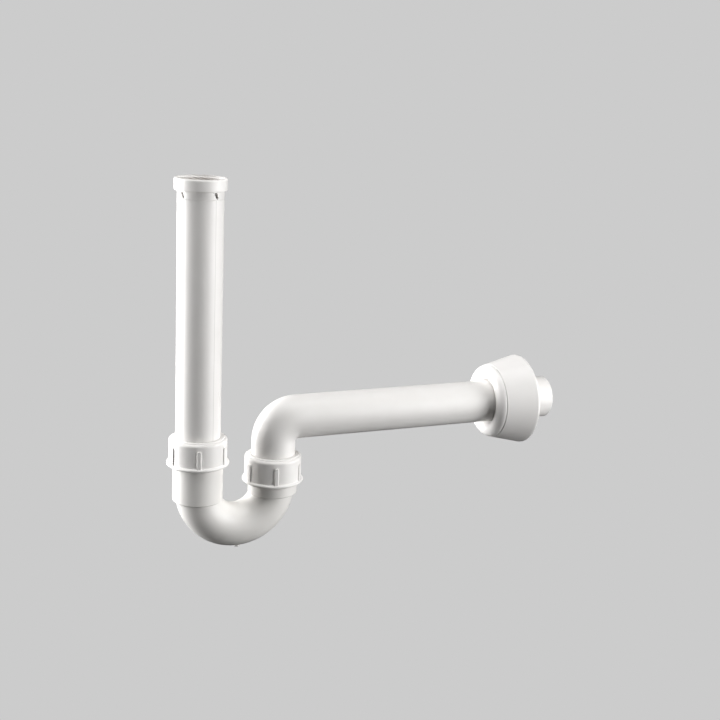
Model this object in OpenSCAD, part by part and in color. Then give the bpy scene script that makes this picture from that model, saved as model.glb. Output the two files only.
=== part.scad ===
// Tubular basin trap for 40 mm waste pipe, in white polypropylene.
// The origin is the centre of the inlet mouth, +Z is up and +X points to the wall.

/* [Waste pipe] */
// Outer diameter of the dip pipe and of the outlet pipe
pipe_d = 40; // [39:0.5:42]
// Wall of both pipes
pipe_wall = 1.9; // [1.5:0.1:2.5]
// Running gap between a pipe and what it passes through
run_gap = 0.05; // [0.04:0.01:0.1]

/* [Dip pipe] */
// Drop from the inlet mouth to the rim of the long leg
inlet_drop = 241; // [180:1:300]
// Length of dip pipe inside the long leg
dip_insert = 21; // [18:0.5:28]
// Width of the flange round the neck that carries the union nut
flange_step = 2.2; // [1.8:0.1:2.6]
// Wall of the neck
neck_wall = 1.8; // [1.4:0.1:2.4]
// Thickness of the flange that holds the union nut
flange_h = 1.8; // [1.4:0.1:2.2]

/* [Union nut] */
// Root diameter of the inlet thread, 1 1/4 inch pipe thread
inlet_thread_d = 41.92; // [41.8:0.02:42.2]
// Length of the threaded wall
inlet_thread_h = 5.4; // [4.6:0.1:7]
// Step from the thread's root in to the smooth chamber's wall
chamber_step = 1.36; // [1.3:0.02:1.5]
// Wall left over the thread's root
band_wall = 1.74; // [1.5:0.02:3]
// Thickness of the floor that bears on the flange
band_floor = 1.4; // [1.2:0.1:2]
// Length of the slotted skirt
skirt_h = 6.7; // [5:0.1:9]
// Wall of the skirt
skirt_wall = 1.6; // [1.2:0.1:1.8]
// Gap between the skirt and the neck
skirt_gap = 1; // [0.6:0.1:1.4]
// Number of slots that let the skirt spring over the flange
slot_count = 4; // [2:1:6]
// Width of a slot
slot_w = 2.7; // [1.6:0.1:3]
// Lean of a slot from upright, degrees
slot_lean = 25; // [0:1:35]

/* [Inlet washer] */
// Thickness of the flat washer
washer_h = 1.8; // [1.4:0.1:2.2]

/* [Slip nuts] */
// Gap from the mouth's thread root to the nut's, which holds both threads
thread_gap = 1.2; // [1:0.1:1.4]
// Wall left over the thread root of the nut
slip_nut_wall = 1.6; // [1.4:0.1:2.2]
// Height of the nut
slip_nut_h = 25.6; // [24.6:0.2:30]
// Reach of the nut below the threaded mouth
nut_overhang = 2.4; // [1:0.2:3]
// Height of the foot flange over the nut's body
foot_proud = 2; // [1:0.2:4]
// Thickness of the flange at the foot
foot_h = 3; // [2:0.2:4]
// Height of the sloping shoulder
shoulder_h = 3.4; // [2.4:0.2:4]
// Number of grip ribs
rib_count = 6; // [4:1:10]
// Width of a grip rib
rib_w = 4; // [3:0.2:6]
// Height of a grip rib over the body
rib_proud = 1.1; // [0.6:0.1:1.6]
// Distance from the shoulder's edge to a rib's top
rib_drop = 3.2; // [1:0.2:4]
// Turn of the first rib on the long leg's nut, degrees
inlet_rib_turn = -104; // [-180:1:180]
// Turn of the first rib on the short leg's nut, degrees
outlet_rib_turn = -102; // [-180:1:180]

/* [Seals and slip rings] */
// Depth of the wedge seal in the flared mouth
seal_depth = 5.5; // [4.5:0.5:7]
// Height of the seal's head over the rim
seal_head = 3.4; // [2.6:0.2:4]
// Wall of the seal at its head
seal_wall = 2.2; // [1.8:0.1:2.4]
// Height of the slip ring
ring_h = 4.4; // [3.8:0.2:5.2]

/* [Trap bend] */
// Distance between the two legs
leg_spacing = 71; // [66:1:90]
// Outer diameter of the bend
bend_d = 40; // [38:0.5:42]
// Wall of the bend
bend_wall = 2.2; // [1.8:0.1:3]
// Wall of the sockets
socket_wall = 2.2; // [1.8:0.1:3]
// Rim of the long leg down to the foot of both sockets
long_socket_h = 46.6; // [44:0.5:60]
// Rim of the short leg under the rim of the long leg
rim_step = 22.4; // [10:0.5:24]
// Stretch of the bend that the sockets run down over
socket_overrun = 8; // [5:0.5:12]
// Height of the threaded mouths over the sockets, to the thread root
mouth_proud = 0.7; // [0.4:0.1:1.4]
// Length of the threaded mouths
mouth_h = 10.5; // [9:0.5:12]
// Diameter of the sprue stub under the bend
gate_d = 5.5; // [3:0.5:7]
// Height of the sprue stub
gate_h = 2.2; // [0.5:0.1:3]
// Shift of the stub from the bend's middle towards the short leg
gate_shift = 2; // [-4:0.5:4]

/* [Outlet pipe] */
// Rim of the short leg up to the axis of the outlet
outlet_rise = 45.9; // [44:0.5:80]
// Radius of the elbow's inner corner
elbow_throat = 1; // [1:0.5:10]
// Axis of the short leg to the end of the outlet pipe
outlet_reach = 284; // [220:1:340]
// Length of outlet pipe inside the short leg
outlet_insert = 12; // [10:0.5:12.5]
// Length of the spigot that the wall seal takes, up to its witness groove
spigot_h = 28; // [20:1:40]

/* [Wall rosette] */
// Diameter of the front rim
rosette_front_d = 71; // [66:1:80]
// Diameter of the back rim
rosette_back_d = 86; // [84:1:110]
// Depth from the front face to the back rim
rosette_h = 39; // [32:0.5:60]
// Wall of the rosette
rosette_wall = 1.8; // [1.4:0.1:2.6]
// Gap between the rosette's lip and the pipe
rosette_gap = 0.2; // [0.15:0.05:0.3]
// Outlet pipe left standing behind the rosette
rosette_stand = 29; // [24:1:45]

/* [Hidden] */
$fn = 96;

// Overlap of a cutting tool past the face that it opens
cut = 1;
pipe_r = pipe_d / 2;
bore_r = pipe_r - pipe_wall;

// Union nut, flange and washer, from the mouth down
thread_root_r = inlet_thread_d / 2;
chamber_r = thread_root_r - chamber_step;
neck_r = min(chamber_r - flange_step, pipe_r - skirt_wall - skirt_gap);
band_r = thread_root_r + band_wall;
washer_top = -inlet_thread_h - run_gap;
flange_top = washer_top - washer_h;
flange_foot = flange_top - flange_h;
band_h = -flange_foot + run_gap + band_floor;
nut_foot = -band_h - skirt_h;
neck_foot = nut_foot - 2 * run_gap;
neck_cone_h = 4;
rim_round = 1.5;

// Compression joints, measured up from the rim of a leg
slip_gap = 0.3;
seat_gap = run_gap;
seat_r = pipe_r + seal_wall;
socket_bore_r = pipe_r + slip_gap;
socket_r = socket_bore_r + socket_wall;
mouth_r = max(socket_r, seat_r + slip_gap) + mouth_proud;
root_r = mouth_r + thread_gap;
slip_nut_r = root_r + slip_nut_wall;
foot_r = slip_nut_r + foot_proud;
nut_foot_z = -mouth_h - nut_overhang;
nut_top_z = nut_foot_z + slip_nut_h;
shoulder_z = nut_top_z - shoulder_h;
flare_h = seal_depth + 0.5;
seal_toe_r = seat_r - (seat_r - socket_bore_r) * seal_depth / flare_h - seat_gap;
ring_foot_z = seal_head + seat_gap;
ring_top_z = ring_foot_z + ring_h;
shoulder_wall = 2.6;
ring_r = root_r - 0.4;
ring_land_h = 1.4;
ring_top_r = pipe_r + 1.2;
ceiling_land_z = ring_foot_z + ring_land_h + seat_gap;
ceiling_z = ring_top_z + seat_gap;
nut_hole_r = pipe_r + slip_gap;
shoulder_top_r = nut_hole_r + shoulder_wall;

// Trap bend
bend_r = leg_spacing / 2;
bend_tube_r = bend_d / 2;
bend_bore_r = bend_tube_r - bend_wall;
long_rim_z = -inlet_drop;
short_rim_z = long_rim_z - rim_step;
socket_foot_z = long_rim_z - long_socket_h;
bend_z = socket_foot_z + socket_overrun;
bend_low_z = bend_z - bend_r;
socket_floor_z = bend_z + 2;

// Outlet pipe and rosette
elbow_r = pipe_r + elbow_throat;
outlet_z = short_rim_z + outlet_rise;
rosette_back_x = leg_spacing + outlet_reach - rosette_stand;
rosette_front_x = rosette_back_x - rosette_h;

// A ring about the Z axis
module ring(outer_r, inner_r, foot, top) {
    difference() {
        translate([0, 0, foot]) cylinder(h = top - foot, r = outer_r);
        translate([0, 0, foot - cut]) cylinder(h = top - foot + 2 * cut, r = inner_r);
    }
}

// A plain rod about the Z axis
module rod(r, foot, top) {
    translate([0, 0, foot]) cylinder(h = top - foot, r = r);
}

// A quarter or less of a bent rod, in the XZ plane about its own centre
module bent_rod(bend, r, from, sweep) {
    rotate([90, 0, 0]) rotate([0, 0, from])
        rotate_extrude(angle = sweep) translate([bend, 0]) circle(r = r);
}

// Union nut: a threaded band that turns on the neck, over a slotted skirt
module inlet_nut() {
    color("whitesmoke") difference() {
        union() {
            rotate_extrude() difference() {
                union() {
                    translate([0, -band_h]) square([band_r - rim_round, band_h]);
                    translate([0, -band_h + 0.6]) square([band_r, band_h - rim_round - 0.6]);
                    translate([0, -band_h]) square([band_r - 0.6, 1]);
                    translate([band_r - rim_round, -rim_round]) circle(r = rim_round);
                }
                translate([-2 * band_r, -band_h]) square([2 * band_r, 2 * band_h]);
            }
            rod(pipe_r, nut_foot, -band_h + cut);
        }
        rod(thread_root_r, -inlet_thread_h, cut);
        rod(chamber_r, -band_h + band_floor, -inlet_thread_h + cut);
        rod(neck_r + run_gap, nut_foot - cut, -band_h + band_floor + cut);
        rod(pipe_r - skirt_wall, nut_foot - cut, -band_h - band_floor);
        for (i = [0 : slot_count - 1])
            rotate([0, 0, -65 + i * 360 / slot_count]) skirt_slot();
    }
}

// A leaning slot with round ends, cut through the skirt just under the band
module skirt_slot() {
    slot_h = skirt_h - 0.9;
    translate([0, 0, -band_h - 0.3 - slot_h / 2]) rotate([90, 0, 90])
        translate([0, 0, pipe_r - skirt_wall - cut]) linear_extrude(skirt_wall + 2 * cut)
            rotate([0, 0, slot_lean]) {
                square([slot_w, slot_h - slot_w], center = true);
                for (end = [-1, 1]) translate([0, end * (slot_h - slot_w) / 2]) circle(d = slot_w);
            }
}

// Flat rubber washer that the waste outlet is pulled down on
module inlet_washer() {
    color("dimgray") ring(chamber_r - 0.3, neck_r - neck_wall, flange_top, washer_top);
}

// Dip pipe: flange and neck for the union nut, then the full diameter to its foot
module inlet_pipe() {
    foot = long_rim_z - dip_insert;
    neck_bore_r = neck_r - neck_wall;
    chamfer = 1;
    color("white") rotate_extrude() polygon([
        [neck_bore_r, flange_top],
        [chamber_r - 0.15, flange_top],
        [chamber_r - 0.15, flange_foot],
        [neck_r, flange_foot],
        [neck_r, neck_foot],
        [pipe_r, neck_foot],
        [pipe_r, foot + chamfer],
        [pipe_r - chamfer, foot],
        [bore_r, foot],
        [bore_r, neck_foot - neck_cone_h],
        [neck_bore_r, neck_foot]
    ]);
}

// Slip nut: ribbed body with a flanged foot and a sloping shoulder round the pipe
module slip_nut(rib_turn) {
    color("white") difference() {
        union() {
            rotate_extrude() slip_nut_outline();
            for (i = [0 : rib_count - 1])
                rotate([0, 0, rib_turn + i * 360 / rib_count]) grip_rib(slip_nut_r);
        }
        rod(root_r, nut_foot_z - cut, ceiling_land_z);
        translate([0, 0, ceiling_land_z])
            cylinder(h = ceiling_z - ceiling_land_z, r1 = root_r, r2 = ring_top_r + 0.4);
        rod(nut_hole_r, ceiling_z - cut, nut_top_z + cut);
    }
}

// Half section of the nut's outside, from its axis out
module slip_nut_outline() {
    bead_r = foot_h / 2;
    shoulder_round = 2.4;
    translate([foot_r - bead_r, nut_foot_z + bead_r]) circle(r = bead_r);
    translate([slip_nut_r - shoulder_round, shoulder_z]) circle(r = shoulder_round);
    polygon([
        [0, nut_foot_z],
        [foot_r - bead_r, nut_foot_z],
        [foot_r - bead_r, nut_foot_z + foot_h],
        [slip_nut_r, nut_foot_z + foot_h + 0.6],
        [slip_nut_r, shoulder_z],
        [slip_nut_r - shoulder_round, shoulder_z],
        [slip_nut_r - shoulder_round, shoulder_z + shoulder_round],
        [shoulder_top_r, nut_top_z],
        [0, nut_top_z]
    ]);
}

// A grip rib: round edges in plan, round top in front view, its foot in the flange
module grip_rib(body_r) {
    rib_r = body_r + rib_proud;
    edge = min(0.8, rib_w / 4);
    foot = nut_foot_z + foot_h - 0.5;
    top = shoulder_z - rib_drop;
    intersection() {
        translate([0, 0, foot]) linear_extrude(top - foot) {
            translate([body_r - 1, -rib_w / 2]) square([rib_proud + 1 - edge, rib_w]);
            translate([body_r - 1, -rib_w / 2 + edge]) square([rib_proud + 1, rib_w - 2 * edge]);
            for (side = [-1, 1])
                translate([rib_r - edge, side * (rib_w / 2 - edge)]) circle(r = edge);
        }
        rotate([90, 0, 90]) linear_extrude(rib_r + cut) {
            translate([-rib_w / 2 - cut / 2, foot]) square([rib_w + cut, top - foot - rib_w / 2]);
            translate([0, top - rib_w / 2]) circle(d = rib_w);
        }
    }
}

// Slip ring: carries the nut's thrust to the seal without turning it
module slip_ring() {
    color("gainsboro") rotate_extrude() polygon([
        [pipe_r + run_gap, ring_foot_z],
        [ring_r, ring_foot_z],
        [ring_r, ring_foot_z + ring_land_h],
        [ring_top_r, ring_top_z],
        [pipe_r + run_gap, ring_top_z]
    ]);
}

// Wedge seal: a tapered skirt in the flared mouth under a plain head
module wedge_seal() {
    color("dimgray") rotate_extrude() polygon([
        [pipe_r + run_gap, -seal_depth],
        [seal_toe_r, -seal_depth],
        [seat_r - seat_gap, 0],
        [seat_r - seat_gap, seal_head],
        [pipe_r + run_gap, seal_head]
    ]);
}

// Trap bend: a half turn of tube between two flared, threaded sockets
module trap_bend() {
    color("white") difference() {
        union() {
            leg(long_rim_z);
            translate([leg_spacing, 0, 0]) leg(short_rim_z);
            half_turn(bend_tube_r);
            translate([bend_r + gate_shift, 0, bend_low_z - bend_tube_r - gate_h])
                cylinder(h = gate_h + bend_wall, d = gate_d);
        }
        half_turn(bend_bore_r);
        leg_bore(long_rim_z);
        translate([leg_spacing, 0, 0]) leg_bore(short_rim_z);
    }
}

// The half turn of the bend at one radius of tube
module half_turn(r) {
    translate([bend_r, 0, bend_z]) bent_rod(bend_r, r, 0, -180);
}

// Outside of a leg: the socket with its softened foot, and the threaded mouth
module leg(rim_z) {
    edge = 0.8;
    rotate_extrude() polygon([
        [0, socket_foot_z],
        [socket_r - edge, socket_foot_z],
        [socket_r, socket_foot_z + edge],
        [socket_r, rim_z - mouth_h],
        [mouth_r, rim_z - mouth_h],
        [mouth_r, rim_z],
        [0, rim_z]
    ]);
}

// Bore of a leg: the way to the bend, the pipe's socket and the seal's flared seat
module leg_bore(rim_z) {
    rod(bend_bore_r, bend_z, socket_floor_z + cut);
    rod(socket_bore_r, socket_floor_z, rim_z - flare_h);
    translate([0, 0, rim_z - flare_h])
        cylinder(h = flare_h, r1 = socket_bore_r, r2 = seat_r);
    rod(seat_r, rim_z, rim_z + cut);
}

// Outlet pipe: a short leg, a tight elbow and the long run through the rosette
module outlet_pipe() {
    leg_foot = short_rim_z - outlet_insert;
    run_from = leg_spacing + elbow_r;
    run_h = outlet_reach - elbow_r;
    chamfer = 1.2;
    groove_w = 1;
    groove_deep = 0.3;
    color("white") difference() {
        union() {
            translate([leg_spacing, 0, 0]) rod(pipe_r, leg_foot, outlet_z - elbow_r);
            translate([leg_spacing + elbow_r, 0, outlet_z - elbow_r])
                bent_rod(elbow_r, pipe_r, 90, 90);
            translate([run_from, 0, outlet_z]) rotate([0, 90, 0]) rotate_extrude() polygon([
                [0, 0],
                [pipe_r, 0],
                [pipe_r, run_h - spigot_h - groove_w],
                [pipe_r - groove_deep, run_h - spigot_h - groove_w],
                [pipe_r - groove_deep, run_h - spigot_h],
                [pipe_r, run_h - spigot_h],
                [pipe_r, run_h - chamfer],
                [pipe_r - chamfer, run_h],
                [0, run_h]
            ]);
        }
        translate([leg_spacing, 0, 0]) rod(bore_r, leg_foot - cut, outlet_z - elbow_r);
        translate([leg_spacing + elbow_r, 0, outlet_z - elbow_r])
            bent_rod(elbow_r, bore_r, 90, 90);
        translate([run_from, 0, outlet_z]) rotate([0, 90, 0])
            cylinder(h = run_h + cut, r = bore_r);
    }
}

// Wall rosette: a cone behind a half-round front rim, which also leads in to the lip
module wall_rosette() {
    front_r = rosette_front_d / 2;
    back_r = rosette_back_d / 2;
    lip_r = pipe_r + rosette_gap;
    lip_h = 3.3;
    rim = (front_r - lip_r) / 2;
    rim_r = lip_r + rim;
    cone_from = 0.85 * rim;
    crease = 0.6;
    hollow_r = rim - rosette_wall;
    color("white") translate([rosette_front_x, 0, outlet_z]) rotate([0, 90, 0])
        rotate_extrude() difference() {
            union() {
                // Cone behind the rim, with a softened back edge
                polygon([
                    [lip_r, rim],
                    [rim_r, cone_from],
                    [front_r, cone_from],
                    [back_r, rosette_h - 2.2],
                    [back_r, rosette_h - 0.8],
                    [back_r - 0.8, rosette_h],
                    [lip_r, rosette_h]
                ]);
                translate([rim_r, rim]) circle(r = rim);
            }
            // Crease between the rim and the cone
            polygon([
                [front_r - crease, cone_from + crease / 2],
                [front_r + crease, cone_from - crease],
                [front_r + crease, cone_from + 2 * crease]
            ]);
            // Hollow back, with the lip left standing as a short collar
            translate([rim_r, rim]) circle(r = hollow_r);
            polygon([
                [lip_r + rosette_wall, rim],
                [rim_r + hollow_r, rim],
                [back_r - rosette_wall - 0.4, rosette_h + cut],
                [lip_r - cut, rosette_h + cut],
                [lip_r - cut, rim + lip_h],
                [lip_r + rosette_wall, rim + lip_h]
            ]);
        }
}

inlet_nut();
inlet_washer();
inlet_pipe();
translate([0, 0, long_rim_z]) slip_nut(inlet_rib_turn);  // trap_inlet_nut
translate([0, 0, long_rim_z]) slip_ring();  // trap_inlet_ring
translate([0, 0, long_rim_z]) wedge_seal();  // trap_inlet_seal
trap_bend();
translate([leg_spacing, 0, short_rim_z]) wedge_seal();  // trap_outlet_seal
translate([leg_spacing, 0, short_rim_z]) slip_ring();  // trap_outlet_ring
translate([leg_spacing, 0, short_rim_z]) slip_nut(outlet_rib_turn);  // trap_outlet_nut
outlet_pipe();
wall_rosette();
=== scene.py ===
"""Basin trap: white polypropylene dip pipe, trap bend, slip nuts, outlet pipe and wall rosette.

Lengths are in metres. The origin is the centre of the inlet mouth, +Z is up and +X points to
the wall. Each section makes one piece, or one group of like pieces, in order of assembly.
"""

import math

import bpy
from mathutils import Matrix, Vector


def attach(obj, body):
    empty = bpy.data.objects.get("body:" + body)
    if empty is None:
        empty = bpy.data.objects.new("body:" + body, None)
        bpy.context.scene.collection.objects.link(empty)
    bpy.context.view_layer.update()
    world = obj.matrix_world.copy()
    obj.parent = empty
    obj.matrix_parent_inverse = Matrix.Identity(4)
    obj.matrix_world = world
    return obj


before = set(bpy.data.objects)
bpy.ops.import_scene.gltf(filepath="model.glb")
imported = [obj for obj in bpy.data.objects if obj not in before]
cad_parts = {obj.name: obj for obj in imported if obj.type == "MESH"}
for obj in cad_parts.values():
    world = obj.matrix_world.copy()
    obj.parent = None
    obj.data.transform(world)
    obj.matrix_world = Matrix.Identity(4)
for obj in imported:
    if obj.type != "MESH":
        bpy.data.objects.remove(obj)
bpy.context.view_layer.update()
bpy.ops.object.select_all(action="DESELECT")
MM = 0.001

# Camera. The view is a little to the left of the trap's front and above the inlet, from about
# a metre away, with the small roll of the photograph. The frame is 720 pixels square.
frame_px = 720
focal_px = 1234.0
sensor_mm = 36.0
camera_place = Vector((-296.3, -1011.1, 110.0)) * MM
camera_azimuth = math.radians(-24.0)
camera_elevation = math.radians(14.11)
camera_roll = math.radians(2.51)

back = Vector((
    math.sin(camera_azimuth) * math.cos(camera_elevation),
    -math.cos(camera_azimuth) * math.cos(camera_elevation),
    math.sin(camera_elevation),
))
level_right = Vector((math.cos(camera_azimuth), math.sin(camera_azimuth), 0.0))
level_up = back.cross(level_right)
right = math.cos(camera_roll) * level_right + math.sin(camera_roll) * level_up
up = back.cross(right)
bpy.ops.object.camera_add()
camera = bpy.context.object
camera.name = "photo_camera"
camera.data.sensor_width = sensor_mm
camera.data.lens = focal_px / frame_px * sensor_mm
camera.data.clip_end = 50.0
turn = Matrix((right, up, back)).transposed().to_4x4()
camera.matrix_world = Matrix.Translation(camera_place) @ turn
bpy.context.scene.camera = camera

# Studio. A plain pale floor that runs up into a dome, as one grey sweep with no edge. It is
# lit by itself, so that the trap's own light stays in the softboxes.
floor_grey = "CCCCCC"
floor_drop = 2.0
sweep_radius = 6.0
scene = bpy.context.scene
scene.view_settings.view_transform = "Standard"


def linear(hex_colour):
    """The linear RGBA of an sRGB hex colour."""
    channels = [int(hex_colour[i:i + 2], 16) / 255 for i in (0, 2, 4)]
    return [c / 12.92 if c <= 0.04045 else ((c + 0.055) / 1.055) ** 2.4 for c in channels] + [1.0]


def add_node(material, kind, settings=None, **inputs):
    """Adds a node. An input is a value, or a node whose first output feeds it, or its socket."""
    node = material.node_tree.nodes.new(kind)
    for key, value in (settings or {}).items():
        setattr(node, key, value)
    for key, value in inputs.items():
        socket = node.inputs[key.replace("_", " ")]
        if isinstance(value, bpy.types.Node):
            value = value.outputs[0]
        if isinstance(value, bpy.types.NodeSocket):
            material.node_tree.links.new(value, socket)
        else:
            socket.default_value = value
    return node


def new_material(name):
    """A material with nodes, emptied but for its output, and that output's surface socket."""
    material = bpy.data.materials.new(name)
    material.use_nodes = True
    material.node_tree.nodes.clear()
    output = material.node_tree.nodes.new("ShaderNodeOutputMaterial")
    return material, output.inputs["Surface"]


bpy.ops.mesh.primitive_uv_sphere_add(segments=64, ring_count=32, radius=sweep_radius)
sweep = bpy.context.object
sweep.name = "studio_floor"
for vertex in sweep.data.vertices:
    vertex.co.z = max(vertex.co.z, -floor_drop)
paper, paper_surface = new_material("paper_sweep")
paper_glow = add_node(paper, "ShaderNodeEmission", Color=linear(floor_grey))
paper.node_tree.links.new(paper_glow.outputs[0], paper_surface)
sweep.data.materials.append(paper)
sweep.visible_diffuse = False
sweep.visible_glossy = False
sweep.visible_shadow = False
bpy.ops.object.select_all(action="DESELECT")

# Light. Upright softboxes stand in pairs at the left and the right, one hangs overhead, and the
# side of the camera is left dark. That gives each pipe its grey stripe between two lights.
trap_middle = Vector((0.14, 0.0, -0.20))
softbox_distance = 1.3
softbox_width = 0.9
softbox_tall = 1.2
softboxes = {
    "left_softbox": dict(side=-91, height=5, power=33.4),
    "left_rear_softbox": dict(side=-115, height=5, power=13.9),
    "right_softbox": dict(side=70, height=5, power=14.2),
    "right_rear_softbox": dict(side=91, height=5, power=8.2),
    "top_softbox": dict(side=0, height=80, power=11.0),
}
for name, box in softboxes.items():
    heading = camera_azimuth + math.radians(box["side"])
    lift = math.radians(box["height"])
    away = Vector((
        math.sin(heading) * math.cos(lift),
        -math.cos(heading) * math.cos(lift),
        math.sin(lift),
    ))
    bpy.ops.object.light_add(type="AREA", location=trap_middle + away * softbox_distance)
    light = bpy.context.object
    light.name = name
    light.data.shape = "RECTANGLE"
    light.data.size = softbox_width
    light.data.size_y = softbox_tall
    light.data.energy = box["power"]
    light.rotation_euler = away.to_track_quat("Z", "Y").to_euler()
    light.visible_camera = False
air_white = "F5F0EA"
air_strength = 0.01
world = bpy.data.worlds.new("studio_air")
world.use_nodes = True
air = world.node_tree.nodes["Background"]
air.inputs["Color"].default_value = linear(air_white)
air.inputs["Strength"].default_value = air_strength
scene.world = world
bpy.ops.object.select_all(action="DESELECT")

# Dip pipe. One moulding in white polypropylene, with a flanged neck that holds the union nut.
# The steel mould was spark eroded and lightly polished, so its gloss is soft and a little
# uneven, and its two halves leave a faint seam down the pipe. The grain and the seam are drawn
# coarser than the real ones, so that they show. The seam's darker colour is painted shade.
pipe_white = "F4F2F0"
pipe_cloudy_white = "EEECE9"
pipe_gloss = (0.34, 0.42)
grain_mm = 0.6
cloud_mm = 22.0
# Painted shade: the grey that the base colour darkens to along a mould seam.
seam_painted_shade = "D2D0CC"
pipe_seam_mm = 0.5
pipe_seam_turn = math.radians(24)
across_pipe_seam = (math.cos(pipe_seam_turn), math.sin(pipe_seam_turn), 0.0)


def polypropylene(name, white, cloudy_white, gloss, edge_mm, seam_mm=0.0, across=(0, 1, 0)):
    """White moulded polypropylene: satin, faintly grained, soft at its edges, with or without
    the seam that the mould's halves leave in a plane through the origin, square to across.
    The seam is a small bump ridge, and along it the base colour is darkened as painted shade."""
    material, surface = new_material(name)
    place = add_node(material, "ShaderNodeTexCoord").outputs["Object"]
    clouds = add_node(material, "ShaderNodeTexNoise", Vector=place,
                      Scale=1 / (cloud_mm * MM), Detail=2.0)
    tone = add_node(material, "ShaderNodeMix", {"data_type": "RGBA"}, Factor=clouds.outputs["Fac"])
    tone.inputs[6].default_value = linear(white)
    tone.inputs[7].default_value = linear(cloudy_white)
    shine = add_node(material, "ShaderNodeMapRange", Value=clouds.outputs["Fac"],
                     From_Min=0.3, From_Max=0.7, To_Min=gloss[0], To_Max=gloss[1])
    grain = add_node(material, "ShaderNodeTexNoise", Vector=place,
                     Scale=1 / (grain_mm * MM), Detail=3.0)
    soft_edge = add_node(material, "ShaderNodeBevel", {"samples": 4}, Radius=edge_mm * MM)
    relief = add_node(material, "ShaderNodeBump", Strength=0.04, Distance=0.02 * MM,
                      Height=grain.outputs["Fac"], Normal=soft_edge)
    if seam_mm:
        distance = add_node(material, "ShaderNodeVectorMath", {"operation": "DOT_PRODUCT"})
        material.node_tree.links.new(place, distance.inputs[0])
        distance.inputs[1].default_value = across
        off_seam = add_node(material, "ShaderNodeMath", {"operation": "ABSOLUTE"},
                            Value=distance.outputs["Value"])
        ridge = add_node(material, "ShaderNodeMapRange", {"interpolation_type": "SMOOTHSTEP"},
                         Value=off_seam, From_Max=seam_mm * MM, To_Min=1.0, To_Max=0.0)
        relief = add_node(material, "ShaderNodeBump", Strength=0.6, Distance=0.05 * MM,
                          Height=ridge.outputs["Result"], Normal=relief.outputs["Normal"])
        # Painted shade: along the seam ridge the base colour is darkened, as if shade lay in it.
        plain_tone = tone
        tone = add_node(material, "ShaderNodeMix", {"data_type": "RGBA"},
                        Factor=ridge.outputs["Result"])
        material.node_tree.links.new(plain_tone.outputs[2], tone.inputs[6])
        tone.inputs[7].default_value = linear(seam_painted_shade)
    plastic = add_node(
        material, "ShaderNodeBsdfPrincipled",
        Base_Color=tone.outputs[2], Roughness=shine.outputs["Result"], IOR=1.49,
        Normal=relief.outputs["Normal"], Subsurface_Weight=0.12,
        Subsurface_Radius=(1.0, 1.0, 1.0), Subsurface_Scale=1.5 * MM,
    )
    material.node_tree.links.new(plastic.outputs[0], surface)
    return material


def dress(node, material):
    """Gives a CAD node its material."""
    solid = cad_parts[node]
    solid.data.materials.clear()
    solid.data.materials.append(material)


pipe_plastic = polypropylene(
    "white_polypropylene_dip_pipe", pipe_white, pipe_cloudy_white, pipe_gloss, edge_mm=0.3,
    seam_mm=pipe_seam_mm, across=across_pipe_seam)
dress("inlet_pipe", pipe_plastic)

# Union nut. A white polypropylene cap that was snapped over the pipe's flange and turns on the
# neck. Its thread takes the basin waste: 11 turns to the inch, with rounded crests.
nut_white = "F6F4F2"
nut_cloudy_white = "F0EEEB"
nut_gloss = (0.32, 0.39)
union_root_r = 20.96
union_crest_r = 19.6
union_pitch = 25.4 / 11
union_foot = -4.6
union_turns = 1.5
union_start_deg = 40
union_ridge_base = 1.9
union_ridge_crest = 0.5
nut_plastic = polypropylene(
    "white_polypropylene_nut", nut_white, nut_cloudy_white, nut_gloss, edge_mm=0.4)
dress("inlet_nut", nut_plastic)
thread_steps = 64
thread_sink = 0.15
run_out_turn = 0.2
end_share = 0.05
thread_crease_deg = 35


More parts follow.
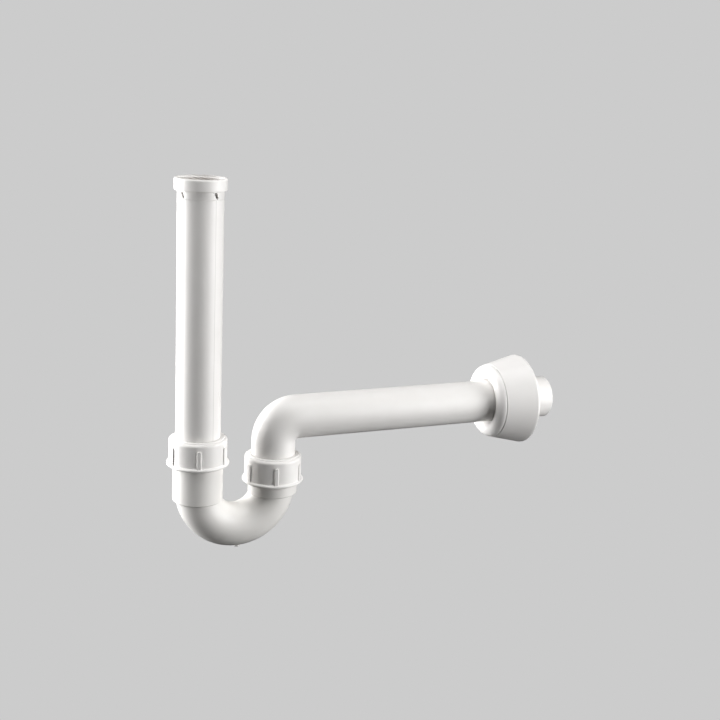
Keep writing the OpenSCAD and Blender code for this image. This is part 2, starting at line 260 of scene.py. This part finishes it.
def thread(name, body, plastic, leg_x, root_r, crest_r, pitch, foot, turns, base_w, crest_w,
           start_deg=0):
    """One right-hand thread ridge in millimetres, sunk a little in its wall, with tapered ends."""
    inward = 1 if crest_r < root_r else -1
    wall_r = root_r + inward * thread_sink
    bpy.ops.mesh.primitive_plane_add(size=1)
    ridge = bpy.context.object
    ridge.name = name
    corners = [(wall_r, -base_w / 2), (crest_r, -crest_w / 2),
               (wall_r, base_w / 2), (crest_r, crest_w / 2)]
    for vertex, (radius, height) in zip(ridge.data.vertices, corners):
        vertex.co = Vector((radius, 0.0, height)) * MM
    bpy.ops.object.mode_set(mode="EDIT")
    bpy.ops.mesh.select_all(action="SELECT")
    bpy.ops.mesh.delete(type="ONLY_FACE")
    bpy.ops.object.mode_set(mode="OBJECT")
    winding = ridge.modifiers.new("winding", "SCREW")
    winding.axis = "Z"
    winding.angle = 2 * math.pi * turns
    winding.screw_offset = pitch * turns * MM
    winding.steps = winding.render_steps = round(thread_steps * turns)
    bpy.ops.object.modifier_apply(modifier=winding.name)

    # The ends run out into the wall, and each is then closed by one face
    profiles = len(ridge.data.vertices) // 4
    run_out = run_out_turn * thread_steps
    for i, vertex in enumerate(ridge.data.vertices):
        step = i // 4
        depth = min(1.0, step / run_out, (profiles - 1 - step) / run_out)
        flat = Vector((vertex.co.x, vertex.co.y, 0.0))
        proud = flat.length - wall_r * MM
        share = end_share + (1 - end_share) * depth
        place = flat.normalized() * (wall_r * MM + proud * share)
        vertex.co = Vector((place.x, place.y, vertex.co.z))
    for first in (0, len(ridge.data.vertices) - 4):
        for i, vertex in enumerate(ridge.data.vertices):
            vertex.select = first <= i < first + 4
        bpy.ops.object.mode_set(mode="EDIT")
        bpy.ops.mesh.edge_face_add()
        bpy.ops.mesh.select_all(action="DESELECT")
        bpy.ops.object.mode_set(mode="OBJECT")
    bpy.ops.object.mode_set(mode="EDIT")
    bpy.ops.mesh.select_all(action="SELECT")
    bpy.ops.transform.rotate(
        value=-math.radians(start_deg), orient_axis="Z", center_override=(0, 0, 0))
    bpy.ops.transform.translate(value=(leg_x * MM, 0.0, foot * MM))
    bpy.ops.mesh.normals_make_consistent(inside=False)
    bpy.ops.object.mode_set(mode="OBJECT")
    bpy.ops.object.shade_smooth_by_angle(angle=math.radians(thread_crease_deg))
    ridge.data.materials.append(plastic)
    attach(ridge, body)
    bpy.ops.object.select_all(action="DESELECT")


thread("union_nut_thread", "inlet_nut", nut_plastic, 0.0, union_root_r, union_crest_r,
       union_pitch, union_foot, union_turns, union_ridge_base, union_ridge_crest,
       union_start_deg)

# Flat washer. Pale EPDM rubber, pressed in a sheet and cut, so it is dull, with a fine tooth and
# a little bloom. It lies loose on the pipe's flange inside the union nut.
washer_pale = "E6DEDA"
washer_bloom = "EFEAE7"
rubber_tooth_mm = 0.25
rubber_bloom_mm = 6.0


def epdm_rubber(name, body, bloom):
    """Moulded EPDM rubber: dull, with a fine tooth and patches of bloom."""
    material, surface = new_material(name)
    place = add_node(material, "ShaderNodeTexCoord").outputs["Object"]
    patches = add_node(material, "ShaderNodeTexNoise", Vector=place,
                       Scale=1 / (rubber_bloom_mm * MM), Detail=4.0)
    tone = add_node(material, "ShaderNodeMix", {"data_type": "RGBA"}, Factor=patches.outputs["Fac"])
    tone.inputs[6].default_value = linear(body)
    tone.inputs[7].default_value = linear(bloom)
    tooth = add_node(material, "ShaderNodeTexNoise", Vector=place,
                     Scale=1 / (rubber_tooth_mm * MM), Detail=2.0)
    relief = add_node(material, "ShaderNodeBump", Strength=0.3, Distance=0.05 * MM,
                      Height=tooth.outputs["Fac"])
    rubber = add_node(material, "ShaderNodeBsdfPrincipled", Base_Color=tone.outputs[2],
                      Roughness=0.62, IOR=1.52, Normal=relief.outputs["Normal"])
    material.node_tree.links.new(rubber.outputs[0], surface)
    return material


dress("inlet_washer", epdm_rubber("pale_epdm_rubber", washer_pale, washer_bloom))

# Trap bend. One polypropylene moulding from a mould in two halves, which leaves a faint seam
# in its middle plane, y = 0; the seam's darker colour is painted shade. The two mouths have a
# coarse round thread for the slip nuts.
bend_white = "F3F1EE"
bend_cloudy_white = "EDEBE7"
bend_gloss = (0.33, 0.41)
moulding_seam_mm = 0.25
leg_spacing = 71.0
rims = {"inlet": (0.0, -241.0), "outlet": (leg_spacing, -263.4)}
mouth_root_r = 23.2
mouth_crest_r = 24.1
mouth_thread_drop = 9.6
mouth_thread_turns = 2.9
slip_pitch = 3.0
slip_ridge_base = 1.4
slip_ridge_crest = 0.6
bend_plastic = polypropylene(
    "white_polypropylene_bend", bend_white, bend_cloudy_white, bend_gloss, edge_mm=0.4,
    seam_mm=moulding_seam_mm)
dress("trap_bend", bend_plastic)
for leg, (leg_x, rim) in rims.items():
    thread(f"{leg}_mouth_thread", "trap", bend_plastic, leg_x, mouth_root_r, mouth_crest_r,
           slip_pitch, rim - mouth_thread_drop, mouth_thread_turns, slip_ridge_base,
           slip_ridge_crest)

# Wedge seals. Black rubber rings with a tapered skirt, pressed into the flared mouths by the
# slip rings until they grip the pipe.
seal_black = "1D1E1F"
seal_bloom = "333433"
black_rubber = epdm_rubber("black_epdm_rubber", seal_black, seal_bloom)
for leg in rims:
    dress(f"trap_{leg}_seal", black_rubber)

# Slip rings. Natural polyethylene, milky and a little waxy: they turn on the nut's cone and
# push the seal down without twisting it.
ring_milk = "DDDFD8"
ring_waxy = "CFD2C9"
ring_gloss = (0.38, 0.48)
slip_ring_plastic = polypropylene(
    "natural_polyethylene_ring", ring_milk, ring_waxy, ring_gloss, edge_mm=0.2)
for leg in rims:
    dress(f"trap_{leg}_ring", slip_ring_plastic)

# Slip nuts. Two alike, in white polypropylene, turned by hand on their six grip ribs. Their
# threads run between those of the mouths, half a pitch apart.
slip_nut_root_r = 24.4
slip_nut_crest_r = 23.5
nut_thread_drop = 11.1
nut_thread_turns = 3.2
for leg, (leg_x, rim) in rims.items():
    dress(f"trap_{leg}_nut", nut_plastic)
    thread(f"{leg}_slip_nut_thread", f"{leg}_slip_nut", nut_plastic, leg_x, slip_nut_root_r,
           slip_nut_crest_r, slip_pitch, rim - nut_thread_drop, nut_thread_turns,
           slip_ridge_base, slip_ridge_crest)

# Outlet pipe. White polypropylene, the elbow and its long run moulded in one, with a groove
# that marks how far the end goes into the wall's seal. Its mould seam, in the middle plane, is
# darkened in colour as painted shade.
outlet_white = "F5F3F1"
outlet_cloudy_white = "EFEDEA"
outlet_gloss = (0.33, 0.40)
outlet_plastic = polypropylene(
    "white_polypropylene_outlet", outlet_white, outlet_cloudy_white, outlet_gloss, edge_mm=0.35,
    seam_mm=moulding_seam_mm)
dress("outlet_pipe", outlet_plastic)

# Wall rosette. A thin cone of white polypropylene that slides on the pipe and hides the hole
# in the wall. Its broad surface was polished a little brighter in the mould.
rosette_white = "F5F3F1"
rosette_cloudy_white = "F0EEEC"
rosette_gloss = (0.30, 0.36)
rosette_plastic = polypropylene(
    "white_polypropylene_rosette", rosette_white, rosette_cloudy_white, rosette_gloss,
    edge_mm=0.5)
dress("wall_rosette", rosette_plastic)
